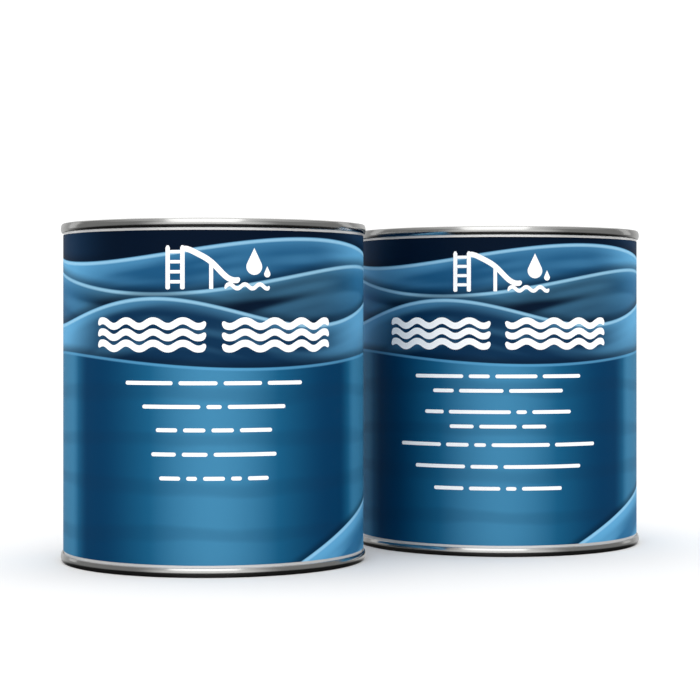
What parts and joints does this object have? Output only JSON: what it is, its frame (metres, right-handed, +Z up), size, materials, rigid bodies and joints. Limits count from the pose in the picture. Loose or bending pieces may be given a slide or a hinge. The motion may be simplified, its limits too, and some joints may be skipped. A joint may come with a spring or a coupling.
{
  "type": "paint can pair",
  "caption": "Pair of friction-lid metal cans for a two-part pool surface coating, with wrap labels and lids that lift off.",
  "frame": {"origin": "on the floor, midway between the axes of the two cans", "axes": "+Z up along the cans' axes; +X to the viewer's right, from the front can towards the rear can; -Y towards the viewer, the way both labels face"},
  "size_m": [0.213, 0.164, 0.1185],
  "materials": {
    "tinplate_body": "bright rolled tinplate",
    "tinplate_end": "bright rolled tinplate",
    "tinplate_ring": "bright rolled tinplate",
    "tinplate_lid": "bright rolled tinplate",
    "seam_compound": "matte",
    "label_paper": "gloss printed paper",
    "wet_coating": "wet gloss"
  },
  "bodies": {
    "front_can": {"front_body": "tinplate_body", "front_bottom_end": "tinplate_end", "front_bottom_seal": "seam_compound", "front_top_ring": "tinplate_ring", "front_top_seal": "seam_compound", "front_label": "label_paper", "front_coating": "wet_coating"},
    "front_closure": {"front_lid": "tinplate_lid"},
    "rear_can": {"rear_body": "tinplate_body", "rear_bottom_end": "tinplate_end", "rear_bottom_seal": "seam_compound", "rear_top_ring": "tinplate_ring", "rear_top_seal": "seam_compound", "rear_label": "label_paper", "rear_coating": "wet_coating"},
    "rear_closure": {"rear_lid": "tinplate_lid"}
  },
  "joints": [
    {"name": "front_lid_lift", "type": "slide", "parent": "front_can", "child": "front_closure", "axis": [0, 0, 1], "range_m": [0, 0.06]},
    {"name": "rear_can_lift", "type": "slide", "parent": "front_can", "child": "rear_can", "axis": [0, 0, 1], "range_m": [0, 0.15]},
    {"name": "rear_lid_lift", "type": "slide", "parent": "rear_can", "child": "rear_closure", "axis": [0, 0, 1], "range_m": [0, 0.06]}
  ]
}
